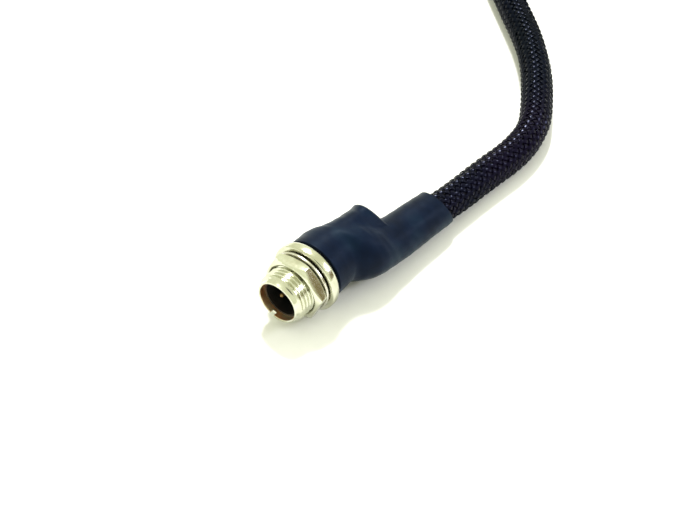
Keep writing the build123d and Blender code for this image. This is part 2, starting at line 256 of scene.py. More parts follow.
def sampled(values, places):
    """Values held for each station, read at places along the cord."""
    return np.column_stack([np.interp(places, stations, values[:, axis]) for axis in range(3)])


# %% The ribbons
CARRIERS = 12
BRAID_R = 3.58 * MM
WEAVE_RISE = 0.2 * MM
PICK = 1.93 * MM
LOBES = 6
LOBE_RISE = 0.12 * MM
LOBE_LENGTH = 60 * MM
WANDER, WANDER_STEP = 0.03, 1.7
WANDER_LENGTH = 21 * MM
BRAID_START = 8.0 * MM
NEAR_END = 138 * MM
BRAID_END = CORD_LENGTH - 1.5 * MM
FINE_SAMPLES, PLAIN_SAMPLES = 8, 4
# Across a ribbon: sideways as a share of half its width, and up in millimetres
FINE_SECTION = [
    (-1, 0),
    (-0.67, 0.16),
    (-0.34, 0.06),
    (0, 0.18),
    (0.34, 0.06),
    (0.67, 0.16),
    (1, 0),
    (0, -0.1),
]
PLAIN_SECTION = [(-1, 0), (0, 0.17), (1, 0), (0, -0.08)]
RIBBON_HALF = 0.5 * MM


def braid(name, way, start, end, samples_a_pick, section):
    """Half of the braid's ribbons, which all wind one way, from start to end along the cord."""
    places = np.linspace(start, end, int((end - start) / PICK * samples_a_pick))
    middle, heading = sampled(centre_at, places), sampled(heading_at, places)
    side, lift = sampled(side_at, places), sampled(lift_at, places)
    wind = tau / (CARRIERS * PICK)
    vertices, faces = [], []
    for carrier in range(CARRIERS):
        wander = WANDER * np.sin(places / WANDER_LENGTH * tau + WANDER_STEP * carrier + way)
        angle = carrier * tau / CARRIERS + way * wind * places + wander
        weave = way * np.cos(CARRIERS * wind * places)
        lobe = np.cos(LOBES * (angle - places / LOBE_LENGTH))
        radius = BRAID_R + WEAVE_RISE * weave + LOBE_RISE * lobe
        out = side * np.cos(angle)[:, None] + lift * np.sin(angle)[:, None]
        line_at = middle + out * radius[:, None]
        forward = np.gradient(line_at, axis=0)
        forward /= np.linalg.norm(forward, axis=1)[:, None]
        across = np.cross(forward, out)
        across /= np.linalg.norm(across, axis=1)[:, None]
        base = carrier * len(places) * len(section)
        rings = []
        for sideways, up in section:
            rings.append(line_at + across * sideways * RIBBON_HALF + out * up * MM)
        vertices.append(np.stack(rings, axis=1).reshape(-1, 3))
        rows = np.arange(len(places) - 1)[:, None] * len(section) + base
        corner = np.arange(len(section))[None, :]
        following = (corner + 1) % len(section)
        quads = np.stack(
            [rows + corner, rows + following, rows + len(section) + following, rows + len(section) + corner],
            axis=-1,
        )
        faces.extend(quads.reshape(-1, 4).tolist())
        last = base + (len(places) - 1) * len(section)
        faces.append([base + index for index in reversed(range(len(section)))])
        faces.append([last + index for index in range(len(section))])
    mesh = bpy.data.meshes.new(name)
    mesh.from_pydata(np.concatenate(vertices).tolist(), [], faces)
    mesh.update()
    mesh.polygons.foreach_set("use_smooth", [True] * len(mesh.polygons))
    piece = bpy.data.objects.new(name, mesh)
    scene.collection.objects.link(piece)
    print(name, len(mesh.polygons), "faces")
    return piece


braid_pieces = [
    braid("braid_near_right", 1, BRAID_START, NEAR_END, FINE_SAMPLES, FINE_SECTION),
    braid("braid_near_left", -1, BRAID_START, NEAR_END, FINE_SAMPLES, FINE_SECTION),
    braid("braid_coil_right", 1, NEAR_END, BRAID_END, PLAIN_SAMPLES, PLAIN_SECTION),
    braid("braid_coil_left", -1, NEAR_END, BRAID_END, PLAIN_SAMPLES, PLAIN_SECTION),
]

# %% [markdown]
# ## Helpers for modelling by hand
#
# A turned piece is made like on a lathe: a circle is placed square to the axis, then extruded and
# resized from one point of the outline to the next. Everything is deselected first, because an
# operator acts on all that is selected.

# %% Start and end of a hand-made piece
AXIS_TURN = (0, pi / 2, 0)


def begin(name):
    """An empty piece at the origin, open in edit mode."""
    bpy.ops.object.select_all(action="DESELECT")
    piece = bpy.data.objects.new(name, bpy.data.meshes.new(name))
    scene.collection.objects.link(piece)
    bpy.context.view_layer.objects.active = piece
    piece.select_set(True)
    bpy.ops.object.mode_set(mode="EDIT")
    return piece


def end(piece, angle=30):
    """Merges doubles, points the faces out and shades smooth up to an angle."""
    bpy.ops.mesh.select_all(action="SELECT")
    bpy.ops.mesh.remove_doubles(threshold=1e-6)
    bpy.ops.mesh.normals_make_consistent(inside=False)
    bpy.ops.object.mode_set(mode="OBJECT")
    bpy.ops.object.shade_smooth_by_angle(angle=radians(angle))
    return piece


def turned(name, outline, corners=96, at=None):
    """A piece turned about X from (distance, radius) points in millimetres, counted from a start."""
    start = at or MOUTH
    piece = begin(name)
    first_x, first_r = outline[0]
    place = start + Vector((first_x * MM, 0, 0))
    bpy.ops.mesh.primitive_circle_add(
        vertices=corners, radius=first_r * MM, location=place, rotation=AXIS_TURN
    )
    before_x, before_r = outline[0]
    for x, r in [*outline[1:], outline[0]]:
        bpy.ops.mesh.extrude_region_move(
            TRANSFORM_OT_translate={"value": ((x - before_x) * MM, 0, 0)}
        )
        centre = start + Vector((x * MM, 0, 0))
        scale = r / before_r
        if abs(scale - 1) > 1e-9:
            bpy.ops.transform.resize(value=(1, scale, scale), center_override=centre)
        before_x, before_r = x, r
    return end(piece)


def apply_modifiers(piece):
    """Applies every modifier on a piece, first to last."""
    bpy.ops.object.select_all(action="DESELECT")
    bpy.context.view_layer.objects.active = piece
    piece.select_set(True)
    for modifier in list(piece.modifiers):
        bpy.ops.object.modifier_apply(modifier=modifier.name)


def rounded_copy(node, name, width, angle=28):
    """A copy of a CAD node, merged, with its sharp edges rounded over."""
    piece = bpy.data.objects.new(name, frame["nodes"][node].data.copy())
    piece.data.materials.clear()
    scene.collection.objects.link(piece)
    bpy.ops.object.select_all(action="DESELECT")
    bpy.context.view_layer.objects.active = piece
    piece.select_set(True)
    bpy.ops.object.mode_set(mode="EDIT")
    bpy.ops.mesh.select_all(action="SELECT")
    bpy.ops.mesh.remove_doubles(threshold=2e-6)
    bpy.ops.object.mode_set(mode="OBJECT")
    if piece.data.has_custom_normals:
        bpy.ops.mesh.customdata_custom_splitnormals_clear()
    rounding = piece.modifiers.new("rounding", "BEVEL")
    rounding.width = width * MM
    rounding.segments = 2
    rounding.limit_method = "ANGLE"
    rounding.angle_limit = radians(angle)
    rounding.use_clamp_overlap = True
    rounding.harden_normals = False
    apply_modifiers(piece)
    bpy.ops.object.shade_smooth_by_angle(angle=radians(35))
    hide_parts(node)
    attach(piece, frame["nodes"][node]["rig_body"])
    print(name, len(piece.data.polygons), "faces")
    return piece


# %% [markdown]
# ## The shrunk boot
#
# One length of shrink tube covers the back of the connector and the end of the sleeve. A lump of
# soldered joints pushes out the upper side that is away from the camera and ends in a step, while the
# near side runs smoothly down to the cable. It could be lofted from a few circles, but shrunk tube is
# never that even, so a straight sleeve is extruded first and then every point is moved on to the boot's
# line, with the lump, dents and small wrinkles added.

# %% The boot's line and sizes
BOOT_WALL = 0.6
BOOT_RIM = 0.12
# Distance from the mouth, offset, height and radius
BOOT_LINE = np.array(
    [
        (12.45, 0.0, 8.4, 7.62),
        (13.2, 0.05, 8.4, 7.6),
        (15.0, 0.05, 8.4, 7.5),
        (17.6, -0.1, 8.4, 7.4),
        (19.0, -0.4, 8.35, 7.4),
        (20.6, -1.52, 8.2, 7.5),
        (22.2, -2.57, 8.0, 7.45),
        (24.5, -3.7, 7.6, 7.15),
        (27.5, -4.65, 7.0, 6.6),
        (30.4, -5.43, 6.35, 5.95),
        (31.6, -5.72, 6.15, 5.75),
        (33.4, -6.1, 5.9, 5.5),
        (36.0, -6.34, 5.65, 5.3),
        (38.5, -6.55, 5.5, 5.2),
        (41.5, -6.81, 5.4, 5.12),
        (45.0, -7.19, 5.25, 5.03),
        (48.2, -7.44, 5.05, 4.9),
    ]
)
BOOT_RINGS = 150
BOOT_CORNERS = 120


def smooth_line(table, count):
    """Passes a smooth curve through the rows of a table and reads it at even distances."""
    gaps = np.linalg.norm(np.diff(table[:, :4], axis=0), axis=1)
    knots = np.concatenate([[0], np.cumsum(gaps)])
    slopes = np.gradient(table, knots, axis=0)
    wanted = np.linspace(0, knots[-1], count)
    index = np.clip(np.searchsorted(knots, wanted, side="right") - 1, 0, len(knots) - 2)
    gap = (knots[index + 1] - knots[index])[:, None]
    t = (wanted - knots[index])[:, None] / gap
    return (
        (2 * t**3 - 3 * t**2 + 1) * table[index]
        + (t**3 - 2 * t**2 + t) * gap * slopes[index]
        + (3 * t**2 - 2 * t**3) * table[index + 1]
        + (t**3 - t**2) * gap * slopes[index + 1]
    )


boot_rows = smooth_line(BOOT_LINE, BOOT_RINGS)
print("boot rings", len(boot_rows), "widest", round(boot_rows[:, 3].max(), 2), "mm")

# %% A straight sleeve, extruded ring by ring
boot = begin("heat_shrink_boot")
bpy.ops.mesh.primitive_circle_add(vertices=BOOT_CORNERS, radius=1, location=(0, 0, 0), rotation=AXIS_TURN)
for _ in range(BOOT_RINGS - 1):
    bpy.ops.mesh.extrude_region_move(TRANSFORM_OT_translate={"value": (1, 0, 0)})
end(boot)

# %% Move the sleeve on to the boot's line, with its dents
# Each dent or swelling: distance, angle from straight up towards -Y, reach along, reach round, height
DENTS = [
    (16.6, -70.0, 1.6, 32.0, 0.16),
    (18.2, 108.0, 0.9, 34.0, -0.3),
    (21.2, 26.0, 1.3, 12.0, 0.12),
    (23.4, 112.0, 1.6, 22.0, 0.15),
    (39.5, 40.0, 4.0, 18.0, 0.12),
    (44.5, 100.0, 2.4, 22.0, -0.12),
]
# The lump of soldered joints pushes one side out, is highest at HUMP_KEEP and ends in a step
HUMP_START, HUMP_KEEP, HUMP_GONE = 20.0, 31.92, 33.2
HUMP_ANGLE, HUMP_REACH, HUMP_HEIGHT = -45.0, 32.9, 5.35
HUMP_RISE = 1.18
# From here back the rings lean over, with their tops towards the mouth
SLANT_START, SLANT_FULL = 24.0, 31.0
SLANT_SIDE, SLANT_UP = -0.1, 0.314
# The boot's front edge is even, and the dents and wrinkles come in behind it
EVEN_UP_TO, UNEVEN_FROM = 14.0, 17.0
WRINKLE_HEIGHT = 0.03
OFF_TABLE = 0.03

count = len(boot.data.vertices)
straight = np.empty(count * 3)
boot.data.vertices.foreach_get("co", straight)
straight = straight.reshape(-1, 3)
ring_at = np.clip(np.rint(straight[:, 0]).astype(int), 0, BOOT_RINGS - 1)
# Angle from straight up towards -Y
turn_at = np.arctan2(-straight[:, 1], straight[:, 2])
middles = boot_rows[:, :3]
distance = middles[ring_at, 0]


def round_from(angle):
    """How far round the boot each point is from an angle, the short way, in radians."""
    return (turn_at - radians(angle) + pi) % tau - pi


swell = np.zeros(count)
for place, angle, reach, reach_round, height in DENTS:
    near_along = ((distance - place) / reach) ** 2
    near_round = (round_from(angle) / radians(reach_round)) ** 2
    swell += height * np.exp(-near_along - near_round)
grown = np.clip((distance - HUMP_START) / (HUMP_KEEP - HUMP_START), 0, 1) ** HUMP_RISE
fall = np.sqrt(1 - np.clip((distance - HUMP_KEEP) / (HUMP_GONE - HUMP_KEEP), 0, 1) ** 2)
flat_top = np.exp(-((round_from(HUMP_ANGLE) / radians(HUMP_REACH)) ** 4))
swell += HUMP_HEIGHT * grown * fall * flat_top
wrinkles_along = np.sin(distance * 2.1 + 2.2 * np.sin(turn_at * 2 + 0.6))
wrinkles_round = np.sin(3 * turn_at + distance * 0.3)
swell += WRINKLE_HEIGHT * wrinkles_along * wrinkles_round
swell *= np.clip((distance - EVEN_UP_TO) / (UNEVEN_FROM - EVEN_UP_TO), 0, 1)
slant = np.clip((middles[:, 0] - SLANT_START) / (SLANT_FULL - SLANT_START), 0, 1)
headings = np.column_stack([np.ones(BOOT_RINGS), SLANT_SIDE * slant, SLANT_UP * slant])
headings /= np.linalg.norm(headings, axis=1)[:, None]
ups = np.array((0, 0, 1.0)) - headings * headings[:, 2:3]
ups /= np.linalg.norm(ups, axis=1)[:, None]
sides = np.cross(ups, headings)
radii = boot_rows[ring_at, 3] + swell
across = -sides[ring_at] * (np.sin(turn_at) * radii)[:, None]
upward = ups[ring_at] * (np.cos(turn_at) * radii)[:, None]
placed = middles[ring_at] + across + upward
placed[:, 2] = np.maximum(placed[:, 2], OFF_TABLE)
boot_points = placed * MM + np.array((MOUTH.x, MOUTH.y, 0))
boot.data.vertices.foreach_set("co", boot_points.ravel())
boot.data.update()

# %% Give the boot its wall
bpy.ops.object.mode_set(mode="EDIT")
bpy.ops.mesh.select_all(action="SELECT")
bpy.ops.mesh.normals_make_consistent(inside=False)
bpy.ops.object.mode_set(mode="OBJECT")
wall = boot.modifiers.new("wall", "SOLIDIFY")
wall.thickness = BOOT_WALL * MM
wall.offset = -1
rim = boot.modifiers.new("rim", "BEVEL")
rim.width = BOOT_RIM * MM
rim.segments = 2
rim.limit_method = "ANGLE"
rim.angle_limit = radians(60)
apply_modifiers(boot)
bpy.ops.object.shade_smooth_by_angle(angle=radians(50))
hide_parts("boot_front", "boot_rear")
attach(boot, "connector")
print("boot", len(boot.data.polygons), "faces")

# %% [markdown]
# ## The socket
#
# The barrel is turned from brass and plated, with a right-handed thread at one turn a millimetre. It is
# turned as one outline. The rings in the threaded length are then moved out and in along a helix, which
# is what a threading tool does.

# %% The socket's outline
PITCH = 1.0
THREAD_R, ROOT_R = 6.0, 5.42
THREAD_START, THREAD_STOP = 1.0, 8.9
RINGS_A_PITCH = 12
PITCH_LINE = (THREAD_R + ROOT_R) / 2
# A radius that no other ring has, so that the rings to be threaded can be told from the rest
BAND = PITCH_LINE + 0.0131
SAME_RADIUS = 0.002
FLANK_START, FLANK_SHARE = 0.14, 0.66
LEAD_IN_R = 5.4
RUN_OUT = 0.5
thread_rings = [
    (THREAD_START + step / RINGS_A_PITCH, BAND)
    for step in range(1, int((THREAD_STOP - THREAD_START) * RINGS_A_PITCH))
]
SHELL_OUTLINE = [
    (0.25, 4.77),
    (0.1, 4.8),
    (0.0, 4.9),
    (0.0, 5.16),
    (0.05, 5.26),
    (0.16, 5.3),
    (0.8, 5.32),
    (0.95, 5.4),
    *thread_rings,
    (8.95, 5.42),
    (9.0, 5.6),
    (9.0, 8.0),
    (9.06, 8.18),
    (9.2, 8.33),
    (9.4, 8.4),
    (10.6, 8.4),
    (10.85, 8.36),
    (11.2, 8.2),
    (11.9, 7.5),
    (12.1, 7.2),
    (12.3, 6.9),
    (12.3, 6.2),
    (18.2, 6.2),
    (18.5, 5.9),
    (18.5, 5.4),
    (13.6, 5.4),
    (13.6, 4.92),
    (1.75, 4.92),
    (1.75, 4.77),
]
socket = turned("threaded_socket", SHELL_OUTLINE, corners=144)
print("socket", len(socket.data.vertices), "points")

# %% Cut the thread along its helix
for vertex in socket.data.vertices:
    x = (vertex.co.x - MOUTH.x) / MM
    y, z = vertex.co.y - MOUTH.y, vertex.co.z - MOUTH.z
    radius = (y * y + z * z) ** 0.5
    if abs(radius / MM - BAND) > SAME_RADIUS:
        continue
    phase = (x / PITCH - atan2(y, z) / tau) % 1
    ridge = 1 - abs(2 * phase - 1)
    height = min(max((ridge - FLANK_START) / FLANK_SHARE, 0), 1)
    new = ROOT_R + (THREAD_R - ROOT_R) * height
    new = min(new, LEAD_IN_R + x - THREAD_START)
    new = ROOT_R + (new - ROOT_R) * min(max((THREAD_STOP - x) / RUN_OUT, 0), 1)
    vertex.co.y = MOUTH.y + y * new * MM / radius
    vertex.co.z = MOUTH.z + z * new * MM / radius
socket.data.update()

# %% The keyway in the rim and the key inside it
SLOT_ANGLE, SLOT_WIDTH, SLOT_DEPTH = 199.5, 1.0, 1.0
SLOT_R, SLOT_THROUGH = 5.05, 1.8
KEY_ANGLE, KEY_WIDTH, KEY_HEIGHT = 31.5, 0.9, 0.45
KEY_R, KEY_START, KEY_LENGTH = 4.62, 0.3, 1.45


def block(name, angle, radius, size, x_middle):
    """A small block set round the axis at an angle from straight up towards -Y."""
    piece = begin(name)
    turn = radians(angle)
    place = MOUTH + Vector((x_middle * MM, -sin(turn) * radius * MM, cos(turn) * radius * MM))
    bpy.ops.mesh.primitive_cube_add(size=1, location=place, rotation=(turn, 0, 0))
    bpy.ops.object.mode_set(mode="OBJECT")
    span = np.array(size) * MM
    local = np.array([vertex.co for vertex in piece.data.vertices]) - np.array(place)
    spin = np.array(Matrix.Rotation(turn, 3, "X"))
    local = (local @ spin) * span
    piece.data.vertices.foreach_set("co", (local @ spin.T + np.array(place)).ravel())
    piece.data.update()
    return piece


def cut_or_join(piece, tool, operation):
    """Takes a tool away from a piece, or adds it, and removes the tool."""
    change = piece.modifiers.new("change", "BOOLEAN")
    change.operation = operation
    change.object = tool
    change.solver = "EXACT"
    apply_modifiers(piece)
    bpy.data.objects.remove(tool)


key_size = (KEY_LENGTH, KEY_WIDTH, KEY_HEIGHT)
key = block("key", KEY_ANGLE, KEY_R, key_size, KEY_START + KEY_LENGTH / 2)
cut_or_join(socket, key, "UNION")
slot_size = (2 * SLOT_DEPTH, SLOT_WIDTH, SLOT_THROUGH)
slot_tool = block("slot_tool", SLOT_ANGLE, SLOT_R, slot_size, 0)
cut_or_join(socket, slot_tool, "DIFFERENCE")
bpy.ops.object.shade_smooth_by_angle(angle=radians(32))
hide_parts("receptacle_shell")
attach(socket, "connector")
print("socket after the keyway", len(socket.data.polygons), "faces")

# %% [markdown]
# ## Nut, washer and plug
#
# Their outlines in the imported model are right, but its edges are knife-sharp. Real plated edges catch a
# thin line of light, so each gets a merged copy with its edges rounded over.

# %% Rounded copies
nut = rounded_copy("hex_nut", "chamfered_nut", 0.13)
washer = rounded_copy("panel_washer", "thin_washer", 0.05)
plug_pieces = []
for node, name, width, slot in (
    ("plug_body", "plug_nose_body", 0.1, "nickel"),
    ("plug_coupling_ring", "plug_knurled_ring", 0.12, "nickel"),
    ("plug_cap", "plug_back_cap", 0.15, "nickel"),
    ("plug_cap_screw", "plug_grub_screw", 0.04, "spring_steel"),
):
    piece = rounded_copy(node, name, width)
    plug_pieces.append(piece)

# %% [markdown]
# ## The plug's shrunk boot
#
# A short length of the same shrink tube closes the plug's back over the braid. It is turned with a few
# soft steps, then moved to the plug's place.

# %% The plug's boot
PLUG_BOOT = [
    (-2.0, 4.25),
    (-1.9, 4.6),
    (-1.7, 4.7),
    (1.0, 4.62),
    (3.2, 4.74),
    (4.4, 5.2),
    (5.6, 5.78),
    (6.6, 5.9),
    (10.6, 5.88),
    (10.9, 5.8),
    (11.0, 5.6),
    (11.0, 5.27),
    (6.0, 5.27),
    (3.5, 4.05),
    (-2.0, 4.05),
]
plug_boot = turned("plug_shrink_boot", PLUG_BOOT, at=Vector((0, 0, 0)))
to_plug = Matrix.Translation(plug_rear) @ Matrix.Rotation(PLUG_HEADING, 4, "Z")
plug_boot.data.transform(to_plug)
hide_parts("plug_boot")
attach(plug_boot, "connector")
plug_pieces.append(plug_boot)

# %% [markdown]
# ## The straps on the coil
#
# Two hook-and-loop straps hold the turns. Each is one flat ribbon wrapped once round the turns, its end
# pressed down over its start. A plane is cut into strips and every strip is moved on to the wrap.

# %% The straps
STRAP_WIDTH = 12.0
STRAP_THICK = 0.75
STRAP_STEPS = 132
STRAP_CORNER = 3.6
STRAP_ANGLES = (-60, 205)
STRAP_TURNS = 1.2
# Where the end climbs on to the start, the gap between them, and the ripple in the loose end
LAP, LAP_GAP = (0.98, 1.03), 0.04
RIPPLE_HEIGHT, RIPPLE_RATE = 0.12, 40
# The wrap round the turns: its middle's radius and height, and half its width and height
WRAP_R, WRAP_Z = 38.5, 8.55
WRAP_HALF_WIDE, WRAP_HALF_HIGH = 8.65, 8.15


def wrap_point(share, half_wide, half_high, corner):
    """A point on a rounded rectangle, counted from the middle of its top, and its outward way."""
    straight_top, straight_side = half_wide - corner, half_high - corner
    quarter = pi / 2 * corner
    legs = [straight_top, quarter, 2 * straight_side, quarter, 2 * straight_top, quarter]
    legs += [2 * straight_side, quarter, straight_top]
    left = share % 1 * sum(legs)
    corners = [
        (straight_top, straight_side),
        (straight_top, -straight_side),
        (-straight_top, -straight_side),
        (-straight_top, straight_side),
    ]
    starts = [(0, half_high), (half_wide, straight_side), (straight_top, -half_high)]
    starts += [(-half_wide, -straight_side), (-straight_top, half_high)]
    ways = [(1, 0), (0, -1), (-1, 0), (0, 1), (1, 0)]
    for index, leg in enumerate(legs):
        if left <= leg or index == len(legs) - 1:
            break
        left -= leg
    if index % 2 == 0:
        start, way = starts[index // 2], ways[index // 2]
        place = (start[0] + way[0] * left, start[1] + way[1] * left)
        return place, (-way[1], way[0])
    turn = pi / 2 - (index // 2) * pi / 2 - left / corner
    centre = corners[index // 2]
    return (centre[0] + corner * cos(turn), centre[1] + corner * sin(turn)), (cos(turn), sin(turn))


straps = []
for number, angle in enumerate(STRAP_ANGLES, start=1):
    node = f"coil_strap_{number}"
    out_way = Vector((cos(radians(angle)), sin(radians(angle)), 0))
    middle = Vector((COIL_X, COIL_Y, 0)) + out_way * WRAP_R * MM
    strap = begin(f"hook_strap_{number}")
    bpy.ops.mesh.primitive_grid_add(
        x_subdivisions=STRAP_STEPS, y_subdivisions=8, size=2, location=(0, 0, 0)
    )
    bpy.ops.object.mode_set(mode="OBJECT")
    for vertex in strap.data.vertices:
        share = (vertex.co.x + 1) / 2 * STRAP_TURNS
        over = between(share, *LAP) * (STRAP_THICK + LAP_GAP)
        half_wide, half_high = WRAP_HALF_WIDE + over, WRAP_HALF_HIGH + over / 2
        place, way = wrap_point(share, half_wide, half_high, STRAP_CORNER + over)
        wave = RIPPLE_HEIGHT * sin(share * RIPPLE_RATE) * between(share, 1.0, STRAP_TURNS)
        sideways = vertex.co.y * STRAP_WIDTH / 2
        lift = WRAP_Z + place[1] + way[1] * wave
        flat = out_way * (place[0] + way[0] * wave) * MM
        beside = Vector((-out_way.y, out_way.x, 0)) * sideways * MM
        vertex.co = middle + flat + beside + Vector((0, 0, lift * MM))
    thick = strap.modifiers.new("thick", "SOLIDIFY")
    thick.thickness = STRAP_THICK * MM
    thick.offset = -1
    apply_modifiers(strap)
    bpy.ops.object.mode_set(mode="EDIT")
    end(strap, 60)
    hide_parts(node)
    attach(strap, "connector")
    straps.append(strap)
    print(strap.name, len(strap.data.polygons), "faces")

# %% [markdown]
#
# The bundle of wires is the cord's own line. The braid, the straps and the plug go with it.

# %% The cord
for piece in [wire_bundle, *braid_pieces]:
    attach(piece, "connector")
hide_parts("cable_lead", "cable_coil", "cable_tail")

# %% [markdown]
# ## Finishes
#
# Every finish is a Principled shader with its colour, roughness and bump varied by noise or waves in
# object coordinates, at the scale of the real marks. What is the same all over is set on the shader's
# own socket.

# %% Node helpers


def finish(name, colour, roughness, metallic=0.0, **sockets):
    """A new material with the values that are the same all over set on its shader."""
    material = bpy.data.materials.new(name)
    material.use_nodes = True
    shader = material.node_tree.nodes["Principled BSDF"]
    shader.inputs["Base Color"].default_value = (*colour, 1)
    shader.inputs["Roughness"].default_value = roughness
    shader.inputs["Metallic"].default_value = metallic
    for socket, value in sockets.items():
        shader.inputs[socket.replace("_", " ")].default_value = value
    return material


def node(material, kind, inputs=None, **settings):
    """A node with its settings and inputs: a value is set, and an output is linked."""
    made = material.node_tree.nodes.new(kind)
    for key, value in settings.items():
        setattr(made, key, value)
    for key, value in (inputs or {}).items():
        socket = made.inputs[key]
        if isinstance(value, bpy.types.NodeSocket):
            material.node_tree.links.new(value, socket)
        else:
            socket.default_value = value
    return made


def shader_of(material):
    """The material's Principled shader."""
    return material.node_tree.nodes["Principled BSDF"]


def link(material, output, socket):
    """Feeds an output to a socket of the material's shader."""
    material.node_tree.links.new(output, shader_of(material).inputs[socket])


def marks(material, scale, detail=3.0, stretch=(1, 1, 1), offset=(0, 0, 0)):
    """Noise in object coordinates, stretched to the shape of the marks."""
    place = node(material, "ShaderNodeTexCoord").outputs["Object"]
    mapped = node(material, "ShaderNodeMapping", {"Vector": place, "Scale": stretch, "Location": offset})
    return node(
        material,
        "ShaderNodeTexNoise",
        {"Vector": mapped.outputs["Vector"], "Scale": scale, "Detail": detail},
    ).outputs["Fac"]


def ramp(material, factor, *stops):
    """Colours or greys along a factor."""
    made = node(material, "ShaderNodeValToRGB", {"Fac": factor})
    elements = made.color_ramp.elements
    while len(elements) < len(stops):
        elements.new(0.5)
    for element, (position, colour) in zip(elements, stops):
        element.position = position
        element.color = (*colour, 1) if len(colour) == 3 else (*colour * 3, 1)
    return made.outputs["Color"]


def bump(material, height, depth, strength=1.0, under=None):
    """Bump from a height, in metres of depth, over an earlier bump if there is one."""
    inputs = {"Height": height, "Distance": depth, "Strength": strength}
    if under is not None:
        inputs["Normal"] = under
    return node(material, "ShaderNodeBump", inputs).outputs["Normal"]


# %% Plated metals


def plated(name, light, dark, smooth, dull, line_scale, line_depth):
    """Plate over turned metal: cloudy colour and gloss, and fine lines round the axis."""
    material = finish(name, light, smooth, 1.0)
    cloud = marks(material, 240, 4.0)
    fine = marks(material, 1500, 2.0, offset=(3, 1, 2))
    link(material, ramp(material, cloud, (0.35, dark), (0.6, light)), "Base Color")
    link(material, ramp(material, fine, (0.3, (smooth,)), (0.8, (dull,))), "Roughness")
    lines = marks(material, line_scale, 2.0, stretch=(1, 0.02, 0.02))
    first = bump(material, lines, line_depth, 0.35)
    link(material, bump(material, cloud, 0.00004, 0.25, first), "Normal")
    return material


nickel = plated("nickel", (0.62, 0.63, 0.52), (0.50, 0.50, 0.38), 0.13, 0.24, 9000, 0.000012)
nut_nickel = plated("nut_nickel", (0.60, 0.61, 0.49), (0.49, 0.48, 0.36), 0.12, 0.22, 5000, 0.00001)
washer_steel = plated("washer_steel", (0.64, 0.63, 0.57), (0.54, 0.52, 0.45), 0.18, 0.32, 6000, 0.00001)
spring_steel = plated("spring_steel", (0.52, 0.51, 0.49), (0.38, 0.37, 0.36), 0.25, 0.4, 6000, 0.00001)
# The bore's orange colour is a painted reflection of the warm glints inside the mouth
bore_painted_reflection = plated("bore_painted_reflection", (0.92, 0.74, 0.50), (0.95, 0.46, 0.20), 0.3, 0.42, 7000, 0.00001)
# The contacts' gold is made far darker than gold: painted shade for the pins deep in the mouth
gold_contact = plated("gold_contact", (0.42, 0.30, 0.13), (0.30, 0.20, 0.09), 0.34, 0.5, 8000, 0.000008)
tinned_copper = plated("tinned_copper", (0.72, 0.70, 0.66), (0.50, 0.46, 0.42), 0.2, 0.45, 3000, 0.00002)

# %% Shrink tube
shrink_tube = finish(
    "shrink_tube",
    (0.005, 0.0105, 0.03),
    0.42,
    Specular_IOR_Level=0.05,
    Specular_Tint=(0.6, 0.8, 1.0, 1),
    Sheen_Weight=0.12,
    Sheen_Roughness=0.35,
    Sheen_Tint=(0.75, 0.92, 1.0, 1),
)
haze = marks(shrink_tube, 130, 3.0)
colour = ramp(
    shrink_tube,
    haze,
    (0.30, (0.0019, 0.0036, 0.0112)),
    (0.50, (0.0029, 0.0066, 0.0205)),
    (0.76, (0.0062, 0.0155, 0.0320)),
)
link(shrink_tube, colour, "Base Color")
skin_grain = marks(shrink_tube, 2600, 3.0)
link(shrink_tube, ramp(shrink_tube, skin_grain, (0.3, (0.38,)), (0.7, (0.5,))), "Roughness")
dull_bump = bump(shrink_tube, skin_grain, 0.00003, 0.3)
crease = marks(shrink_tube, 420, 2.0, stretch=(1, 0.35, 0.35))
link(shrink_tube, bump(shrink_tube, crease, 0.0002, 0.25, dull_bump), "Normal")

# %% Braid filaments and the wires under them
braided_sleeve = finish("braided_sleeve", (0.003, 0.004, 0.009), 0.2, Specular_IOR_Level=0.08)
drift = marks(braided_sleeve, 28, 2.0)
tint = ramp(
    braided_sleeve,
    drift,
    (0.35, (0.0008, 0.0022, 0.0036)),
    (0.52, (0.0012, 0.0022, 0.0066)),
    (0.66, (0.0036, 0.0022, 0.0092)),
)
link(braided_sleeve, tint, "Base Color")
shader_of(braided_sleeve).inputs["Specular Tint"].default_value = (0.52, 0.6, 1.0, 1)
gloss = marks(braided_sleeve, 900, 2.0)
link(braided_sleeve, ramp(braided_sleeve, gloss, (0.3, (0.13,)), (0.7, (0.24,))), "Roughness")
link(braided_sleeve, bump(braided_sleeve, gloss, 0.00003, 0.3), "Normal")

under_braid = finish("under_braid", (0.003, 0.003, 0.005), 0.6, Specular_IOR_Level=0.2)
wire_tints = marks(under_braid, 60, 2.0)
wires_seen = ramp(
    under_braid,
    wire_tints,
    (0.40, (0.002, 0.0025, 0.004)),
    (0.60, (0.006, 0.004, 0.009)),
)
link(under_braid, wires_seen, "Base Color")
under_grain = marks(under_braid, 1400, 2.0)
link(under_braid, bump(under_braid, under_grain, 0.0001, 0.5), "Normal")

# %% Plastics, insulation and the straps


def moulded(name, colour, roughness, grain_scale, grain_depth):
    """Soft or moulded plastic: a little lighter and duller in patches, with a fine grain."""
    material = finish(name, colour, roughness, Specular_IOR_Level=0.35)
    patch = marks(material, 350, 3.0)
    dark = tuple(value * 0.7 for value in colour)
    light = tuple(min(value * 1.3, 0.9) for value in colour)
    link(material, ramp(material, patch, (0.35, dark), (0.65, light)), "Base Color")
    grain = marks(material, grain_scale, 3.0)
    spread = ramp(material, grain, (0.3, (roughness - 0.08,)), (0.7, (roughness + 0.1,)))
    link(material, spread, "Roughness")
    link(material, bump(material, grain, grain_depth, 0.4), "Normal")
    return material


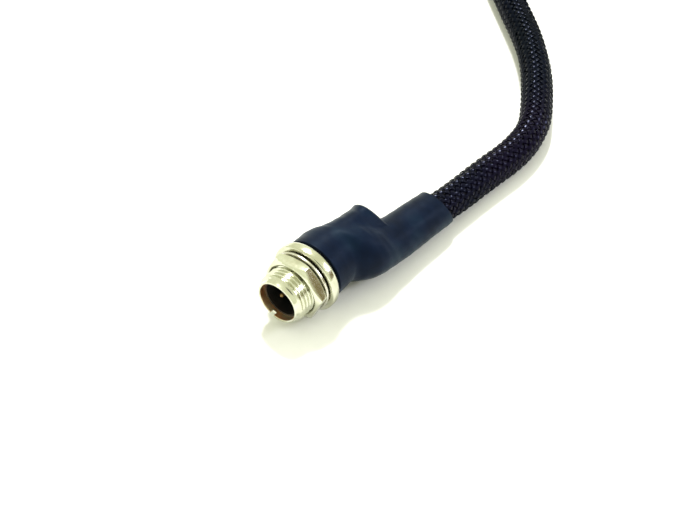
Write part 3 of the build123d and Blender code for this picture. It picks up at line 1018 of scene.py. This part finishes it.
black_insulator = moulded("black_insulator", (0.006, 0.006, 0.007), 0.5, 2400, 0.00003)
thin_shrink = moulded("thin_shrink", (0.02, 0.02, 0.024), 0.45, 1800, 0.00003)
wire_colours = {
    "wire_red": moulded("wire_red", (0.38, 0.02, 0.02), 0.42, 1500, 0.00003),
    "wire_black": moulded("wire_black", (0.012, 0.012, 0.014), 0.42, 1500, 0.00003),
    "wire_white": moulded("wire_white", (0.62, 0.62, 0.58), 0.42, 1500, 0.00003),
    "wire_violet": moulded("wire_violet", (0.10, 0.04, 0.24), 0.42, 1500, 0.00003),
}
hook_strap = finish("hook_strap", (0.012, 0.012, 0.014), 0.85, Sheen_Weight=0.35, Specular_IOR_Level=0.2)
pile = marks(hook_strap, 1700, 4.0)
pile_colour = ramp(hook_strap, pile, (0.35, (0.006, 0.006, 0.007)), (0.7, (0.03, 0.03, 0.034)))
link(hook_strap, pile_colour, "Base Color")
loops = node(
    hook_strap,
    "ShaderNodeTexVoronoi",
    {"Vector": node(hook_strap, "ShaderNodeTexCoord").outputs["Object"], "Scale": 1600.0},
).outputs["Distance"]
pile_bump = bump(hook_strap, loops, 0.0002, 0.6)
link(hook_strap, bump(hook_strap, pile, 0.0003, 0.6, pile_bump), "Normal")

# %% Give every piece and node its finish
finishes = {
    "nickel": nickel,
    "nut_nickel": nut_nickel,
    "washer_steel": washer_steel,
    "spring_steel": spring_steel,
    "black_insulator": black_insulator,
    "gold_contact": gold_contact,
    "tinned_copper": tinned_copper,
    "thin_shrink": thin_shrink,
    "shrink_tube": shrink_tube,
    "braided_sleeve": braided_sleeve,
    "hook_strap": hook_strap,
    **wire_colours,
}
node_slots = {part["node"]: part["material_slot"] for part in frame["record"]["subparts"]}
for name, cad_piece in frame["nodes"].items():
    if not cad_piece.material_slots:
        cad_piece.data.materials.append(None)
    for slot in cad_piece.material_slots:
        slot.material = finishes[node_slots[name]]
for piece, material in [
    (boot, shrink_tube),
    (plug_boot, shrink_tube),
    (nut, nut_nickel),
    (washer, washer_steel),
    (plug_pieces[0], nickel),
    (plug_pieces[1], nickel),
    (plug_pieces[2], nickel),
    (plug_pieces[3], spring_steel),
    *[(strap, hook_strap) for strap in straps],
    *[(ribbons, braided_sleeve) for ribbons in braid_pieces],
    (wire_bundle, under_braid),
]:
    piece.data.materials.clear()
    piece.data.materials.append(material)
socket.data.materials.clear()
socket.data.materials.append(nickel)
socket.data.materials.append(bore_painted_reflection)
# The plate runs just inside the rim. Past it, the bore's orange metal colour is a painted reflection of the
# warm glints in the mouth
BORE_R, PAINTED_REFLECTION_DEPTH = 4.95, 0.12
inner_faces = 0
for face in socket.data.polygons:
    y, z = face.center.y - MOUTH.y, face.center.z - MOUTH.z
    inside = (y * y + z * z) ** 0.5 < BORE_R * MM
    face.material_index = 1 if inside and face.center.x > MOUTH.x + PAINTED_REFLECTION_DEPTH * MM else 0
    inner_faces += face.material_index
print("faces of bare brass inside the mouth:", inner_faces)

# %% [markdown]
# ## Floor and light
#
# A white table under one small lamp high up behind the object, with a bright room around. The room is a
# little olive, which tints the shadow and the plate. It has a dark place where the maker stands, a brown
# one low on the right and a small bright window above that, so the metal has something to reflect.

# %% The floor
bpy.ops.object.select_all(action="DESELECT")
bpy.ops.mesh.primitive_plane_add(size=8, location=(0, 0, 0))
floor = bpy.context.active_object
floor.name = "floor"
paper = finish("paper", (0.86, 0.86, 0.86), 0.9, Specular_IOR_Level=0.1)
fibre = marks(paper, 300, 3.0)
link(paper, ramp(paper, fibre, (0.3, (0.85, 0.85, 0.85)), (0.7, (0.87, 0.87, 0.87))), "Base Color")
floor.data.materials.append(paper)

# %% The lamp
key_data = bpy.data.lights.new("key", "SUN")
key_data.energy = 3.4
key_data.angle = radians(8)
key_data.color = (1.0, 0.99, 0.98)
key_lamp = bpy.data.objects.new("key", key_data)
KEY_WAY = Vector((0.46, 0.4, 1.0)).normalized()
key_lamp.rotation_euler = KEY_WAY.to_track_quat("Z", "Y").to_euler()
scene.collection.objects.link(key_lamp)

# %% The room
world = bpy.data.worlds.new("room")
scene.world = world
world.use_nodes = True
room = world.node_tree.nodes["Background"]
room.inputs["Strength"].default_value = 1.0
look_way = node(world, "ShaderNodeTexCoord").outputs["Generated"]
unit_way = node(world, "ShaderNodeVectorMath", {0: look_way}, operation="NORMALIZE").outputs[0]
ROOM_COLOUR = (1.22, 1.25, 0.95, 1)
# Each zone: its middle, where it is full and where it ends in degrees, its colour
ZONES = [
    (to_camera, 10, 26, (0.08, 0.085, 0.08, 1)),
    (Vector((0.553, -0.812, 0.16)), 8, 20, (0.30, 0.23, 0.10, 1)),
    (Vector((0.56, -0.66, 0.50)), 5, 11, (18.0, 18.0, 20.0, 1)),
]
lit = None
for middle, full, edge, zone_colour in ZONES:
    middle = middle.normalized()
    near = node(world, "ShaderNodeVectorMath", {0: unit_way, 1: tuple(middle)}, operation="DOT_PRODUCT")
    share = node(
        world,
        "ShaderNodeMapRange",
        {"Value": near.outputs["Value"], "From Min": cos(radians(edge)), "From Max": cos(radians(full))},
        interpolation_type="SMOOTHSTEP",
    ).outputs["Result"]
    mixed = node(world, "ShaderNodeMix", {"Factor": share}, data_type="RGBA")
    sockets = [socket for socket in mixed.inputs if socket.type == "RGBA"]
    if lit is None:
        sockets[0].default_value = ROOM_COLOUR
    else:
        world.node_tree.links.new(lit, sockets[0])
    sockets[1].default_value = zone_colour
    lit = [socket for socket in mixed.outputs if socket.type == "RGBA"][0]
world.node_tree.links.new(lit, room.inputs["Color"])
